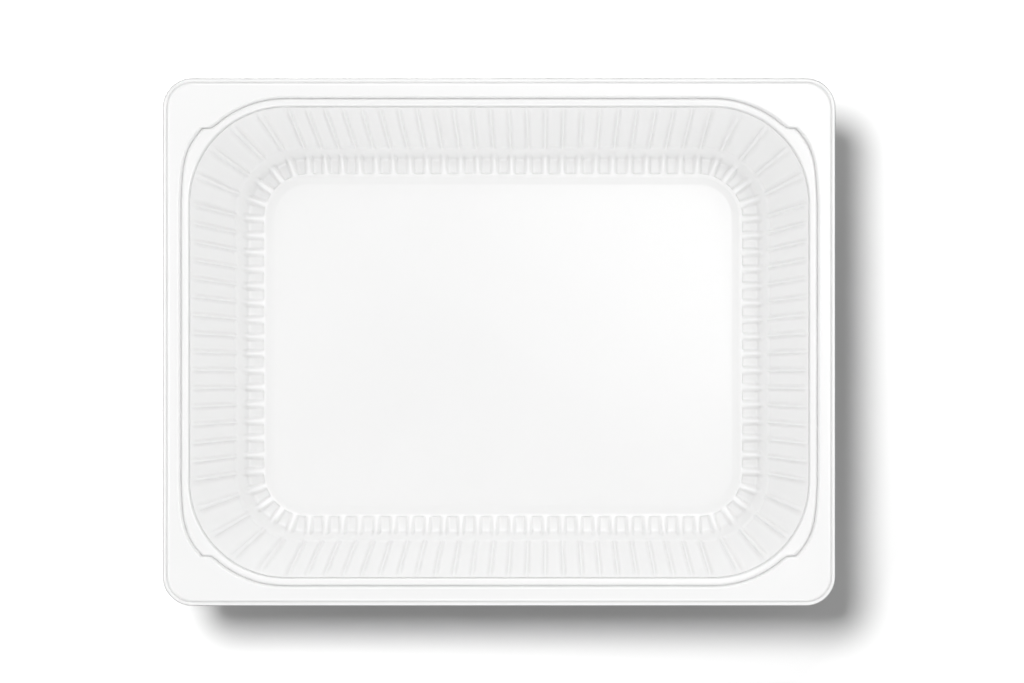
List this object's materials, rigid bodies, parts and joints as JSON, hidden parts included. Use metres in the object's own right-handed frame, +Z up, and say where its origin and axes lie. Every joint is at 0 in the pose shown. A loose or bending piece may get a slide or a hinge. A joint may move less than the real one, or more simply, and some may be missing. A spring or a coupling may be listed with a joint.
{
  "type": "food tray",
  "caption": "Shallow rectangular thermoformed food tray: flat sealing flange, ribbed slanted walls, a ring of pockets and sloping bars at their foot, and a raised floor panel.",
  "frame": {"origin": "middle of the footprint, on the surface that the tray stands on", "axes": "+X along the long side, +Y along the short side, +Z up out of the tray's mouth"},
  "size_m": [0.227, 0.178, 0.05],
  "materials": {
    "plastic": "glossy opaque white polypropylene"
  },
  "bodies": {
    "root": {"tray": "plastic"}
  },
  "joints": []
}
